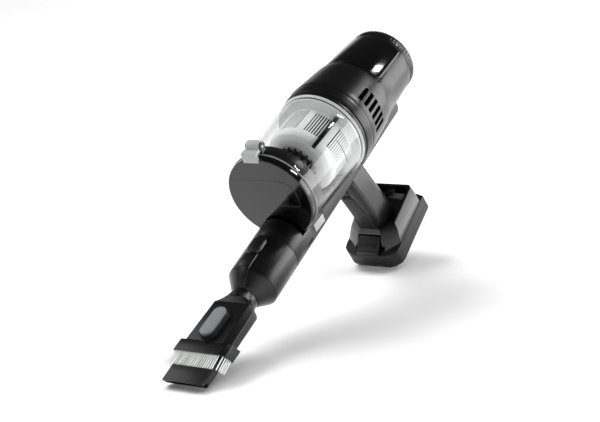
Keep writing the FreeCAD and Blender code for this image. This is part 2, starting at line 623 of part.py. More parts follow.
def makeBrush():
    lean = leaning("- collar_front", 12.4, cells["brush_lean"])
    collarRun = 16.3
    plan = padded(None, tool, "XY_Plane", [
        (-21.5, -26.5), (-21.5, 26.5), (-24, 29), (-30, "sleeve_half - 0.8"), (-93, "sleeve_half + 1"),
        (-93, "- sleeve_half - 1"), (-30, "- sleeve_half + 0.8"), (-24, -29),
    ], -20, 40)
    skin = lofted(None, tool, [(-20, eightSided(31.6, -11.4, 12.8, 7.0)), (-94, eightSided(33.2, -11.4, 12.4, 7.0))])
    room = lofted(None, tool, [
        (-19, eightSided(26.2, -8.8, 8.8, 2.0)), (-56, eightSided(26.2, -8.6, 8.6, 2.0)),
        (-60, eightSided(29.4, -8.6, 8.6, 2.0)), (-95, eightSided(29.4, -8.4, 8.4, 2.0)),
    ])
    wall = capsule(-75.0, -46.7, 10.2, 11.5, 18.8)
    well = capsule(-75.0, -46.7, 9.0, 13.4, 24)
    ahead = block(lean, (-60, collarRun + 0.05), (-50, 50), (-60, 8))
    less(joined([less(shared(plan, skin), [ahead]), wall]), [room, well], "brush_sleeve")
    keep("slider_button", capsule(-75.0, -46.7, 8.6, 15.2, 21.6))
    band = lofted(None, tool, [
        (-70, eightSided(cells["collar_half"], -12.2, 13.0, 5.0)), (-112, eightSided(cells["collar_half"], -12.2, 13.0, 5.0)),
    ])
    gap = lofted(None, tool, [(-70, eightSided(29.5, -8.4, 8.4, 2.0)), (-113, eightSided(29.5, -8.4, 8.4, 2.0))])
    front = block(lean, (-60, 0), (-50, 50), (-60, 40))
    rear = block(lean, (collarRun, 60), (-50, 50), (-60, 40))
    less(band, [gap, front, rear], "brush_collar")
    tuftCount = 21
    roots = [(-30.0 + 60.0 * n / (tuftCount - 1), 10.2) for n in range(tuftCount)]
    for side in (-1, 1):
        roots += [(side * across, up) for across, up in ((34.0, 7.8), (35.2, 4.6), (35.5, 1.4), (35.5, -1.8), (35.2, -5.0))]
    tufts = []
    for across, up in roots:
        face = -cells["collar_front"] + (12.4 - up) * math.tan(math.radians(cells["brush_lean"])) - 0.6
        tufts.append(rod(tool, 1.2, (face - cells["bristle_length"], across, up), cells["bristle_length"]))
    grouped(tufts, "bristles")


# ---- handle with its trigger ----
def roundedBar(place, halfDepth, halfWidth, corner, low, high):
    body = padded(None, place, "XY_Plane", [
        (-halfDepth, -halfWidth), (halfDepth, -halfWidth), (halfDepth, halfWidth), (-halfDepth, halfWidth),
    ], low, high - low)
    return softened(body, lambda e: e.BoundBox.DiagonalLength > high - low - 1 and isUpright(e, place), corner)


def isUpright(edge, place):
    if len(edge.Vertexes) < 2:
        return False
    run = edge.Vertexes[1].Point - edge.Vertexes[0].Point
    return abs(run.z) > 0.99 * run.Length


def makeHandle():
    deep, wide, corner = cells["grip_depth_half"], cells["grip_half"], cells["grip_corner"]
    outer = roundedBar(grip, deep, wide, corner, -cells["grip_length"] - 6, 4)
    inner = roundedBar(grip, deep - 3.2, wide - 3.2, corner - 3, -cells["grip_length"] + 6, 10)
    spineRoom = rod(pipe, "pipe_radius", (100, 0, 0), 140)
    footRoom = block(foot, (-60, 70), (-45, 45), (-40, 10.2))
    strip = padded(None, grip, "YZ_Plane", [(-8.4, -37), (8.4, -37), (13.2, -107.3), (-13.2, -107.3)], -24, 2.4)
    mouth = block(grip, (-30, -8), (-7.9, 7.9), (-35.0, -7.0))
    tube = less(outer, [inner, spineRoom, footRoom, strip, mouth])
    pinHole = rod(grip, 1.5, (-13.5, -20, -10.6), 40, across=True)
    bored = less(tube, [pinHole])
    screwPlaces = [(12.5, -26.0), (12.5, -70.0), (11.0, -108.0)]
    holes = [rod(grip, 3.0, (x, 15.4, z), 5, across=True) for x, z in screwPlaces]
    left = block(grip, (-40, 40), (0.04, 30), (-160, 20))
    right = block(grip, (-40, 40), (-30, -0.04), (-160, 20))
    less(shared(bored, left), holes, "handle_left")
    shared(bored, right, "handle_right")
    padded("grip_strip", grip, "YZ_Plane", [(-8.2, -37.2), (8.2, -37.2), (12.9, -106.5), (-12.9, -106.5)], -23.9, 2.2)
    heads = []
    for x, z in screwPlaces:
        head = rod(grip, 2.9, (x, 15.4, z), 2.2, across=True)
        heads.append(less(head, [block(grip, (x - 2, x + 2), (16.6, 18), (z - 0.4, z + 0.4))]))
    grouped(heads, "handle_screws")
    lever = padded(None, grip, "XZ_Plane", [
        (-25.4, -14.5), (-22.4, -8.0), (-13.5, -7.6), (-10.4, -10.6), (-13.2, -14.4), (-15.0, -32.2), (-22.6, -32.4), (-26.4, -24),
    ], -7.5, 15)
    less(lever, [rod(grip, 1.6, (-13.5, -10, -10.6), 20, across=True)], "trigger")
    pinBetween("trigger_pin", grip, 1.5, -13.5, -10.6, 15.6)
    block_ = block(grip, (-8.2, 4), (-6, 6), (-34, -16))
    stem = block(grip, (-9.6, -8), (-2, 2), (-31, -27))
    joined([block_, stem], "trigger_switch")


# ---- foot and battery ----
def footOutline(front, rear, half, frontFlat, rearFlat, frontCut, rearCut):
    """Eight corners of the foot seen from above."""
    return [
        (-front, -frontFlat), (-front, frontFlat), (-front + frontCut, half), (rear - rearCut, half),
        (rear, rearFlat), (rear, -rearFlat), (rear - rearCut, -half), (-front + frontCut, -half),
    ]


def layer(outline, low, high):
    return padded(None, foot, "XY_Plane", outline, low, high - low)


def makeFoot():
    body = newBody(foot)
    lower = sketchOn(body, "XY_Plane", footOutline(37, 63, 40.2, 22, 30, 17, 12), "pack_top + 0.4")
    middle = sketchOn(body, "XY_Plane", footOutline(26, 62, 36.2, 18, 29.4, 17, 7.5), 16)
    upper = sketchOn(body, "XY_Plane", footOutline(17, 60.7, 31, 15, 28.7, 15, 3), "foot_top")
    loft = body.newObject("PartDesign::AdditiveLoft", helperName("loft"))
    loft.Profile = lower
    loft.Sections = [middle, upper]
    loft.Ruled = True
    body.Tip = loft
    tray = newBody(foot)
    traySketch = sketchOn(tray, "XY_Plane", footOutline(4, 56.4, 27, 20, 20, 8, 8), 10.2)
    traySketch2 = sketchOn(tray, "XY_Plane", footOutline(10, 57.4, 28.4, 18, 24, 10, 5), 26)
    trayLoft = tray.newObject("PartDesign::AdditiveLoft", helperName("loft"))
    trayLoft.Profile = traySketch
    trayLoft.Sections = [traySketch2]
    trayLoft.Ruled = True
    tray.Tip = trayLoft
    doc.recompute()
    channel = block(foot, (-50, 53.4), (-22.5, 22.5), (0, 7.8))
    latchRoom = block(foot, (-50, -21.6), (-17.4, 17.4), (0, 19.4))
    contactRoom = block(foot, (50, 59), (-14, 14), (3.3, 7.8))
    hollow = block(foot, (-14, 48), (-10, 10), (7.7, 8.9))
    bar = roundedBar(grip, cells["grip_depth_half"], cells["grip_half"], cells["grip_corner"], -cells["grip_length"] - 6, -90)
    gripRoom = less(bar, [block(foot, (-60, 70), (-45, 45), (-40, 10.2))])
    less(body, [tray, channel, latchRoom, contactRoom, hollow, gripRoom], "foot")
    jaws = []
    for across in (-9, 0, 9):
        for side in (-1, 1):
            middle = across + side * 1.7
            jaws.append(block(foot, (53.8, 58.6), (middle - 0.7, middle + 0.7), (4.0, 7.6)))
    grouped(jaws, "socket_terminals")


def packOutline(inset):
    """Twelve corners of the battery seen from above, moved inwards by an amount."""
    front, rear, half = cells["foot_front"], cells["foot_rear"], cells["foot_half"]
    left = [
        (-front + inset, 24.0), (-front + 3.0 + 0.9 * inset, half - 8.5 - 0.5 * inset),
        (-front + 10.0 + 0.5 * inset, half - 1.5 - 0.9 * inset), (-front + 18.0, half - inset),
        (rear - 4.2 - 0.8 * inset, half - inset), (rear - inset, 26.0),
    ]
    return left + [(along, -across) for along, across in reversed(left)]


def makeBattery():
    low, split, top = -cells["pack_depth"], -cells["pack_split"], cells["pack_top"]
    plan = packOutline(0.0)
    inner = packOutline(2.0)
    lower = layer(plan, low, split)
    softened(lower, lambda e: e.BoundBox.ZMax < low + 0.01, 2.2, flat=True)
    less(lower, [layer(inner, low + 2, 0)], "battery_case_lower")
    upper = layer(plan, split + 0.05, top)
    rail = block(foot, (-20, 52.6), (-22.1, 22.1), (top - 0.1, 7.4))
    slots = [block(foot, (46, 60), (across - 3, across + 3), (3.8, 10)) for across in (-9, 0, 9)]
    less(joined([upper, rail]), [layer(inner, split - 5, top - 2)] + slots, "battery_case_upper")
    cellsInPack = [rod(foot, 9.1, (-25.4, across, -11.2), 65.2) for across in (-27.9, -9.3, 9.3, 27.9)]
    grouped(cellsInPack, "battery_cells")
    board = block(foot, (-40.5, -28), (-20, 20), (-13, -11.4))
    chip = block(foot, (-38, -31), (-8, 8), (-11.5, -9.5))
    joined([board, chip], "battery_board")
    blades = [block(foot, (46.1, 57.2), (across - 0.5, across + 0.5), (3.9, 7.0)) for across in (-9, 0, 9)]
    grouped(blades, "battery_contacts")
    latch = padded(None, foot, "XZ_Plane", [
        (-45, 3.2), (-45, 8.2), (-43.2, 9.6), (-41.5, 9.6), (-40.2, 11.6), (-36.5, 13.0), (-35.2, 12.4), (-32, 14.4),
        (-30.8, 15.6), (-25.2, 18.6), (-23.8, 18.6), (-23.8, 3.2),
    ], -15.6, 31.2)
    keep("battery_latch", latch)


makeLid()
makeLatch()
makeCup()
makeCyclone()
makeIntake()
makeHousing()
makeMotor()
makeRearCap()
makeSpine()
makeBarrel()
makeTool()
makeBrush()
makeHandle()
makeFoot()
makeBattery()
doc.recompute()

# ---- stand it on the mouth of the tool and the front edge of the battery ----
lipSetBack = 10.9 * math.tan(math.radians(cells["mouth_lean"]))
mouthEdge = tool.multVec(Vector(-cells["tool_length"] + lipSetBack, 0, -7.0))
packEdge = foot.multVec(Vector(-cells["foot_front"] + 2.2, 0, -cells["pack_depth"]))
slope = math.degrees(math.atan2(mouthEdge.z - packEdge.z, packEdge.x - mouthEdge.x))
standing = Placement(Vector(), Rotation(Vector(0, 1, 0), -slope))
for piece in pieces:
    piece.Placement = standing.multiply(piece.Placement)
doc.recompute()
boxes = [piece.Shape.BoundBox for piece in pieces]
centre = (min(b.XMin for b in boxes) + max(b.XMax for b in boxes)) / 2
middle = (min(b.YMin for b in boxes) + max(b.YMax for b in boxes)) / 2
floor = min(b.ZMin for b in boxes)
for piece in pieces:
    piece.Placement = Placement(Vector(-centre, -middle, -floor), Rotation()).multiply(piece.Placement)
doc.recompute()

for item in doc.Objects:
    if "Invalid" in item.State or "Error" in item.State:
        raise RuntimeError(f"{item.Label} failed: {item.State}")
for piece in pieces:
    shape = piece.Shape
    if shape.isNull() or not shape.isValid() or not shape.Solids:
        raise RuntimeError(f"{piece.Label} has no valid solid")

os.makedirs("parts", exist_ok=True)
for piece in pieces:
    piece.Shape.exportStep(f"parts/{piece.Label}.step")
print(f"{len(pieces)} pieces, stands {slope:.3f} degrees nose down, shifted {-centre:.3f} {-middle:.3f} {-floor:.3f}")
for piece in pieces:
    box = piece.Shape.BoundBox
    print(f"{piece.Label}: {len(piece.Shape.Solids)} solid, {piece.Shape.Volume:.0f} mm3, "
          f"x {box.XMin:.1f}..{box.XMax:.1f} y {box.YMin:.1f}..{box.YMax:.1f} z {box.ZMin:.1f}..{box.ZMax:.1f}")
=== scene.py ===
import json
import math
import random
import bmesh
import bpy
from mathutils import Matrix, Vector


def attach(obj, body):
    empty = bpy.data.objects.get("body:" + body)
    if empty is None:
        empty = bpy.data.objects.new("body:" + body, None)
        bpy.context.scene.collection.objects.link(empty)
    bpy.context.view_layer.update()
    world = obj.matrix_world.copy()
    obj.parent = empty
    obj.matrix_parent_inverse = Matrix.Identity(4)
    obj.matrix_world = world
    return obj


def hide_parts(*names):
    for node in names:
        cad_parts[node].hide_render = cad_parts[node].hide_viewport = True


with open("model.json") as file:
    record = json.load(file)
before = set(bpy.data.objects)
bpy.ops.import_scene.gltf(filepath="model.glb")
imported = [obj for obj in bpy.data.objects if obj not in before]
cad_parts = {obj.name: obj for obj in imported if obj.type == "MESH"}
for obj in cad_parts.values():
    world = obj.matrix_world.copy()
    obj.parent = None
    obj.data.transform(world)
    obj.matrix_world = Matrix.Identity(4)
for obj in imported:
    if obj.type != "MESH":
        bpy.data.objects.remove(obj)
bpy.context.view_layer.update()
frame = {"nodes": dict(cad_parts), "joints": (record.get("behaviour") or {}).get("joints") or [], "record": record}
nodes = frame["nodes"]
joints = {joint["name"]: joint for joint in frame["joints"]}
print("frame loaded:", len(nodes), "nodes")

# Frames, in mm.
layout = {
    "spinPlace": 200.0,                     # the motor joint's point, from the lid's face
    "pipeStart": (4.9, 0.0, -58.3),         # the nozzle pipe's root, in the machine's frame
    "neckPlace": -109.0,                    # the tool's neck, along the pipe
}


def localFrame(origin, along):
    x = Vector(along).normalized()
    y = Vector((0.0, 1.0, 0.0))
    turn = Matrix((x, y, x.cross(y))).transposed().to_4x4()
    return Matrix.Translation(origin) @ turn @ Matrix.Scale(0.001, 4)


spinAxis = Vector(joints["motor_spin"]["axis"])
machine = localFrame(Vector(joints["motor_spin"]["pos_m"]) - spinAxis * layout["spinPlace"] * 0.001, spinAxis)
pipe = localFrame(machine @ Vector(layout["pipeStart"]), -Vector(joints["tool_pull"]["axis"]))
tool = localFrame(pipe @ Vector((layout["neckPlace"], 0, 0)), -Vector(joints["brush_slide"]["axis"]))

# Camera.
view = {
    "place": (-1141.4, -1022.4, 908.8),     # in the machine's own frame, mm
    "aim": (8.35, -30.62, -22.32),
    "roll": -7.284,
    "lens": 89.76,
}
camera = bpy.data.objects.new("camera", bpy.data.cameras.new("camera"))
bpy.context.scene.collection.objects.link(camera)
camera.data.lens = view["lens"]
camera.data.sensor_width = 36.0
cameraPlace = machine @ Vector(view["place"])
cameraAim = machine @ Vector(view["aim"])
lookAt = (cameraAim - cameraPlace).to_track_quat("-Z", "Y").to_matrix().to_4x4()
cameraRoll = Matrix.Rotation(math.radians(view["roll"]), 4, "Z")
camera.matrix_world = Matrix.Translation(cameraPlace) @ lookAt @ cameraRoll
bpy.context.scene.camera = camera
bpy.context.scene.view_settings.view_transform = "Standard"


# Materials.
def linear(hexColour):
    channels = [int(hexColour[i:i + 2], 16) / 255 for i in (1, 3, 5)]
    return [c / 12.92 if c <= 0.04045 else ((c + 0.055) / 1.055) ** 2.4 for c in channels] + [1.0]


def addNode(material, kind, settings=None, links=None, **inputs):
    node = material.node_tree.nodes.new(kind)
    for name, value in (settings or {}).items():
        setattr(node, name, value)
    for name, value in inputs.items():
        node.inputs[name.replace("_", " ")].default_value = value
    for name, source in (links or {}).items():
        material.node_tree.links.new(source, node.inputs[name])
    return node


def newMaterial(name):
    material = bpy.data.materials.new(name)
    material.use_nodes = True
    material.node_tree.nodes.clear()
    return material


def finishMaterial(material, surface):
    addNode(material, "ShaderNodeOutputMaterial", links={"Surface": surface})
    return material


def mouldedPlastic(name, colour, roughness, grainMm, grainDepth, ior=1.53, mottling=0.12, coat=0.0, paintedGlow=0.0):
    material = newMaterial(name)
    place = addNode(material, "ShaderNodeTexCoord").outputs["Object"]
    grain = addNode(material, "ShaderNodeTexNoise", links={"Vector": place},
                    Scale=1000.0 / grainMm, Detail=3.0, Roughness=0.6)
    bump = addNode(material, "ShaderNodeBump", links={"Height": grain.outputs["Fac"]},
                   Strength=1.0, Distance=grainDepth * 0.001)
    cloud = addNode(material, "ShaderNodeTexNoise", links={"Vector": place}, Scale=14.0, Detail=4.0)
    spread = addNode(material, "ShaderNodeMapRange", links={"Value": cloud.outputs["Fac"]})
    spread.inputs["To Min"].default_value = roughness * (1 - mottling)
    spread.inputs["To Max"].default_value = roughness * (1 + mottling)
    # paintedGlow is a painted glow: the surface emits its own colour with no lamp behind it
    shader = addNode(material, "ShaderNodeBsdfPrincipled",
                     links={"Roughness": spread.outputs["Result"], "Normal": bump.outputs["Normal"]},
                     Base_Color=linear(colour), IOR=ior, Coat_Weight=coat,
                     Emission_Color=linear(colour), Emission_Strength=paintedGlow)
    return finishMaterial(material, shader.outputs["BSDF"])


def metal(name, colour, roughness, strength=0.15):
    material = newMaterial(name)
    place = addNode(material, "ShaderNodeTexCoord").outputs["Object"]
    streak = addNode(material, "ShaderNodeTexNoise", links={"Vector": place}, Scale=900.0, Detail=2.0)
    spread = addNode(material, "ShaderNodeMapRange", links={"Value": streak.outputs["Fac"]})
    spread.inputs["To Min"].default_value = roughness * (1 - strength)
    spread.inputs["To Max"].default_value = roughness * (1 + strength)
    shader = addNode(material, "ShaderNodeBsdfPrincipled", links={"Roughness": spread.outputs["Result"]},
                     Base_Color=linear(colour), Metallic=1.0)
    return finishMaterial(material, shader.outputs["BSDF"])


def clearPlastic(name, tint, faceOn, grazing, roughness, frost=0.0, frostColour="#ffffff"):
    material = newMaterial(name)
    through = addNode(material, "ShaderNodeBsdfTransparent", Color=linear(tint))
    shine = addNode(material, "ShaderNodeBsdfGlossy", Color=linear("#ffffff"), Roughness=roughness)
    turned = addNode(material, "ShaderNodeLayerWeight", Blend=0.5)
    steep = addNode(material, "ShaderNodeMath", settings={"operation": "POWER"},
                    links={"Value": turned.outputs["Facing"]})
    steep.inputs[1].default_value = 4.0
    share = addNode(material, "ShaderNodeMath", settings={"operation": "MULTIPLY_ADD"},
                    links={"Value": steep.outputs["Value"]})
    share.inputs[1].default_value = grazing
    share.inputs[2].default_value = faceOn
    base = through.outputs["BSDF"]
    if frost:
        haze = addNode(material, "ShaderNodeBsdfDiffuse", Color=linear(frostColour))
        cloudy = addNode(material, "ShaderNodeMixShader", Fac=frost)
        material.node_tree.links.new(base, cloudy.inputs[1])
        material.node_tree.links.new(haze.outputs["BSDF"], cloudy.inputs[2])
        base = cloudy.outputs["Shader"]
    mix = addNode(material, "ShaderNodeMixShader", links={"Fac": share.outputs["Value"]})
    material.node_tree.links.new(base, mix.inputs[1])
    material.node_tree.links.new(shine.outputs["BSDF"], mix.inputs[2])
    return finishMaterial(material, mix.outputs["Shader"])


# near-black with a soft broad sheen: the mould's spark-eroded skin scatters the light
satinBlack = mouldedPlastic("satin black ABS, spark-eroded mould", "#0b0b0c", 0.30, 0.7, 0.010)
# deeper black and mirror-like: a polished mould leaves clear reflections
glossBlack = mouldedPlastic("polished black ABS", "#050506", 0.10, 6.0, 0.003, coat=0.3)
# a shade lighter and duller, so the battery and the trigger read apart from the body
satinGrey = mouldedPlastic("dark grey glass-filled nylon, fine grain", "#121214", 0.44, 0.8, 0.030, ior=1.42)
# mid grey and dull, the one light pad on the black tool
padGrey = mouldedPlastic("painted soft-touch ABS", "#77797c", 0.42, 0.8, 0.012)
# fine bright flakes in clear lacquer give an even silver with a narrow highlight
silverCoat = mouldedPlastic("silver lacquered ABS", "#a9abab", 0.26, 1.2, 0.004, coat=0.5)
# nearly invisible face on, with bright lines where it turns away
clearBin = clearPlastic("clear polycarbonate, polished mould", "#fdfdfd", 0.025, 0.75, 0.03)
# milky light grey: the eroded mould scatters the light on its way through
frostedBin = clearPlastic("frosted polycarbonate, eroded mould", "#f6f7f7", 0.04, 0.4, 0.20, 0.90, "#f4f5f5")
# dead black with no highlight
rubber = mouldedPlastic("nitrile rubber", "#0c0c0c", 0.75, 0.8, 0.03)
# pale mirror-like pins, blurred a little by the grinding
steel = metal("ground steel", "#b4b4b2", 0.3)
# darker and duller than the pins, because the sheets are only stamped
coreSteel = metal("laminated electrical steel", "#6f7072", 0.4)
# the fan: bright and slightly blurred
castAluminium = metal("machined aluminium", "#c8c9ca", 0.3)
# warm yellow contacts
brassPlate = metal("brass strip", "#c9a55c", 0.3)
# charcoal with deep open pores
foam = mouldedPlastic("open-cell foam", "#2a2a2c", 0.95, 2.0, 0.4)
# warm off-white with no shine
paper = mouldedPlastic("pleated filter paper", "#e6e5de", 0.9, 1.0, 0.05)
# dark green under a clear varnish
boardGreen = mouldedPlastic("solder mask on glass-epoxy", "#0d3b22", 0.35, 2.0, 0.01)
# blue film drawn tight over the cells
cellWrap = mouldedPlastic("shrink-wrapped cells", "#2b5d8c", 0.35, 2.0, 0.01)
# white filaments with a painted glow: an emission in their own colour stands in for the light that passes through
# the nylon
nylon = mouldedPlastic("white nylon filament, drawn", "#fafbfb", 0.4, 0.8, 0.004, paintedGlow=0.12)

finishes = {
    "black_plastic": satinBlack, "gloss_black": glossBlack, "dark_grey_plastic": satinGrey,
    "silver_plastic": silverCoat, "clear_plastic": clearBin, "grey_button": padGrey, "rubber_seal": rubber,
    "steel_pin": steel, "motor_steel": coreSteel, "fan_aluminium": castAluminium, "filter_foam": foam,
    "filter_paper": paper, "board": boardGreen, "cell_wrap": cellWrap, "brass_contact": brassPlate,
    "bristle_white": nylon,
}
slotOf = {part["node"]: part["material_slot"] for part in frame["record"]["subparts"]}
bodyOf = {node: body for body, members in frame["record"]["behaviour"]["bodies"].items() for node in members}
for node, slot in slotOf.items():
    mesh = nodes[node].data
    for index in range(len(mesh.materials)):
        mesh.materials[index] = finishes[slot]
print("materials on the carried-over nodes")


# Making pieces.
def placed(shape, name, body, material, smoothBelow=32.0):
    for face in shape.faces:
        face.smooth = True
    for edge in shape.edges:
        edge.smooth = edge.is_manifold and edge.calc_face_angle(0.0) < math.radians(smoothBelow)
    mesh = bpy.data.meshes.new(name)
    shape.to_mesh(mesh)
    shape.free()
    mesh.materials.append(material)
    piece = bpy.data.objects.new(name, mesh)
    bpy.context.scene.collection.objects.link(piece)
    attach(piece, body)
    return piece


# A moulding's sharp CAD edges rounded as the mould rounds them, in millimetres.
def softMoulding(node, name, rounding, steps=2, sharpFrom=24.0, material=None):
    shape = bmesh.new()
    shape.from_mesh(nodes[node].data)
    bmesh.ops.remove_doubles(shape, verts=shape.verts, dist=0.00001)
    bmesh.ops.dissolve_limit(shape, angle_limit=math.radians(0.5), verts=shape.verts, edges=shape.edges)
    sharp = [e for e in shape.edges if e.is_manifold and e.calc_face_angle(0.0) > math.radians(sharpFrom)]
    bmesh.ops.bevel(shape, geom=sharp, offset=rounding * 0.001, segments=steps, profile=0.5,
                    affect="EDGES", material=-1, clamp_overlap=True)
    bmesh.ops.triangulate(shape, faces=[face for face in shape.faces if len(face.verts) > 4])
    piece = placed(shape, name, bodyOf[node], material or finishes[slotOf[node]])
    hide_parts(node)
    return piece


# A ring turned about a frame's x axis from (along, radius) corners in millimetres.
def turnedRing(name, place, corners, body, material, rounding=0.3, steps=180):
    shape = bmesh.new()
    verts = [shape.verts.new((along, 0.0, radius)) for along, radius in corners]
    edges = [shape.edges.new((verts[i], verts[(i + 1) % len(verts)])) for i in range(len(verts))]
    bmesh.ops.spin(shape, geom=verts + edges, cent=(0, 0, 0), axis=(1, 0, 0), angle=math.tau, steps=steps,
                   use_merge=True)
    bmesh.ops.remove_doubles(shape, verts=shape.verts, dist=0.001)
    sharp = [e for e in shape.edges if e.is_manifold and e.calc_face_angle(0.0) > math.radians(20)]
    bmesh.ops.bevel(shape, geom=sharp, offset=rounding, segments=2, profile=0.5, affect="EDGES", material=-1,
                    clamp_overlap=True)
    bmesh.ops.recalc_face_normals(shape, faces=shape.faces)
    bmesh.ops.transform(shape, matrix=place, verts=shape.verts)
    return placed(shape, name, body, material)


# A fine raised line along points in a frame, in millimetres.
def raisedLine(name, place, points, thickness, body, material, closed=False):
    curve = bpy.data.curves.new(name, "CURVE")
    curve.dimensions = "3D"
    curve.bevel_depth = thickness / 2
    curve.bevel_resolution = 2
    curve.use_fill_caps = True
    spline = curve.splines.new("NURBS")
    spline.points.add(len(points) - 1)
    for point, at in zip(spline.points, points):
        point.co = (*at, 1.0)
    spline.order_u = 3
    spline.use_endpoint_u = not closed
    spline.use_cyclic_u = closed
    holder = bpy.data.objects.new(name, curve)
    bpy.context.scene.collection.objects.link(holder)
    mesh = bpy.data.meshes.new_from_object(holder.evaluated_get(bpy.context.evaluated_depsgraph_get()))
    bpy.data.objects.remove(holder)
    shape = bmesh.new()
    shape.from_mesh(mesh)
    bmesh.ops.remove_doubles(shape, verts=shape.verts, dist=0.001)
    bmesh.ops.recalc_face_normals(shape, faces=shape.faces)
    bmesh.ops.transform(shape, matrix=place, verts=shape.verts)
    return placed(shape, name, body, material)


# Mouldings with rounded edges.
mouldings = {                               # each piece's name, edge radius in mm and steps round the edge
    "cup_lid": ("lidMoulding", 0.9, 3),
    "dust_cup": ("clearCup", 0.4, 2),
    "cup_collar": ("innerCollar", 0.4, 2),
    "hinge_lugs": ("hingeLugs", 0.5, 2),
    "lid_latch": ("latchMoulding", 1.4, 4),
    "latch_base": ("latchStand", 0.4, 2),
    "cyclone_cone": ("finnedCone", 0.3, 2),
    "vortex_finder": ("innerTube", 0.3, 2),
    "intake_ring": ("intakeRing", 0.4, 2),
    "motor_housing": ("housingMoulding", 0.6, 2),
    "rear_cap": ("filterCap", 0.35, 2),
    "spine": ("spineMoulding", 0.8, 2),
    "tool_barrel": ("barrelMoulding", 0.7, 2),
    "tool_release_button": ("toolButton", 0.9, 3),
    "cup_release_button": ("cupButton", 1.0, 3),
    "tool_cone": ("coneMoulding", 0.8, 2),
    "crevice_nozzle": ("flatNozzle", 1.0, 3),
    "brush_sleeve": ("sleeveMoulding", 1.8, 4),
    "slider_button": ("sliderPad", 1.0, 3),
    "brush_collar": ("collarMoulding", 1.2, 3),
    "handle_left": ("handleLeft", 0.25, 2),
    "handle_right": ("handleRight", 0.25, 2),
    "grip_strip": ("gripStrip", 0.6, 2),
    "trigger": ("triggerMoulding", 1.0, 3),
    "battery_case_lower": ("packBottom", 0.8, 2),
    "battery_case_upper": ("packTop", 0.5, 2),
    "battery_latch": ("packLatch", 0.5, 2),
}
for node, (name, rounding, steps) in mouldings.items():
    softMoulding(node, name, rounding, steps)
softMoulding("foot", "footMoulding", 0.9, 3, material=glossBlack)
softMoulding("shroud", "frostedShroud", 0.3, 1, material=frostedBin)
softMoulding("shroud_flange", "frostedFlange", 0.4, 2, material=frostedBin)
print("mouldings rounded:", len(mouldings) + 3)

# Gloss cover, a flat plate wrapped on the housing.
cover = {
    "front": 221.0, "rear": 291.0,          # along the machine axis, mm
    "sweep": 124.0,                         # degrees that it wraps
    "frontRadius": 51.45, "rearRadius": 46.75,
    "thickness": 1.7, "cornerFront": 8.0, "cornerRear": 3.0, "edge": 0.9,
}
plate = bmesh.new()
perRadian = 50.0                            # flat millimetres to one radian of wrap
halfWrap = math.radians(cover["sweep"] / 2) * perRadian
frontCorners = [plate.verts.new((cover["front"], side * halfWrap, 0.0)) for side in (-1, 1)]
rearCorners = [plate.verts.new((cover["rear"], side * halfWrap, 0.0)) for side in (-1, 1)]
plate.faces.new((frontCorners[0], rearCorners[0], rearCorners[1], frontCorners[1]))
for pair, size in ((frontCorners, cover["cornerFront"]), (rearCorners, cover["cornerRear"])):
    bmesh.ops.bevel(plate, geom=pair, offset=size, segments=10, profile=0.5, affect="VERTICES", material=-1)
raised = bmesh.ops.extrude_face_region(plate, geom=plate.faces[:])
raisedVerts = [item for item in raised["geom"] if isinstance(item, bmesh.types.BMVert)]
bmesh.ops.translate(plate, vec=(0, 0, cover["thickness"]), verts=raisedVerts)
rim = [e for e in plate.edges if all(v.co.z > cover["thickness"] / 2 for v in e.verts)]
bmesh.ops.bevel(plate, geom=rim, offset=cover["edge"], segments=4, profile=0.5, affect="EDGES", material=-1)
cuts = 44
for n in range(1, cuts):
    across = -halfWrap + 2 * halfWrap * n / cuts
    wholePlate = plate.verts[:] + plate.edges[:] + plate.faces[:]
    bmesh.ops.bisect_plane(plate, geom=wholePlate, plane_co=(0, across, 0), plane_no=(0, 1, 0), dist=0.0001)
bmesh.ops.recalc_face_normals(plate, faces=plate.faces)
for vert in plate.verts:
    share = (vert.co.x - cover["front"]) / (cover["rear"] - cover["front"])
    radius = cover["frontRadius"] + (cover["rearRadius"] - cover["frontRadius"]) * share + vert.co.z
    around = -vert.co.y / perRadian
    vert.co = (vert.co.x, -radius * math.sin(around), radius * math.cos(around))
bmesh.ops.transform(plate, matrix=machine, verts=plate.verts)
coverPiece = placed(plate, "glossCover", "chassis", glossBlack, smoothBelow=40.0)
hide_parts("top_cover")
print("gloss cover wrapped")

# a light silver ring just proud of the cup's mouth, a painted highlight along the lid's edge
lip = [(9.5, 57.0), (9.5, 58.7), (10.4, 58.7), (10.4, 57.0)]
turnedRing("lipHighlightRing", machine, lip, "dust_cup", silverCoat, rounding=0.25)

# a black sleeve just inside the shroud, painted shade: it darkens what shows through the shroud's slots
sleeve = [(82.0, 40.5), (82.0, 42.0), (124.0, 42.0), (124.0, 40.5)]
turnedRing("paintedShadeSleeve", machine, sleeve, bodyOf["shroud"], satinBlack)

# the rib that stands along the shroud, between its slots
rib = {"front": 66.0, "rear": 130.0, "foot": 45.0, "top": 49.5, "halfWidth": 2.6, "around": 50.0}
ribShape = bmesh.new()
bmesh.ops.create_cube(ribShape, size=1.0)
ribSize = Vector((rib["rear"] - rib["front"], 2 * rib["halfWidth"], rib["top"] - rib["foot"]))
ribMiddle = Vector(((rib["rear"] + rib["front"]) / 2, 0, (rib["top"] + rib["foot"]) / 2))
bmesh.ops.scale(ribShape, vec=ribSize, verts=ribShape.verts)
bmesh.ops.translate(ribShape, vec=ribMiddle, verts=ribShape.verts)
bmesh.ops.bevel(ribShape, geom=ribShape.edges[:], offset=0.8, segments=3, profile=0.5,
                affect="EDGES", material=-1)
ribTurn = Matrix.Rotation(math.radians(rib["around"]), 4, "X")
bmesh.ops.transform(ribShape, matrix=machine @ ribTurn, verts=ribShape.verts)
placed(ribShape, "shroudRib", bodyOf["shroud"], glossBlack)

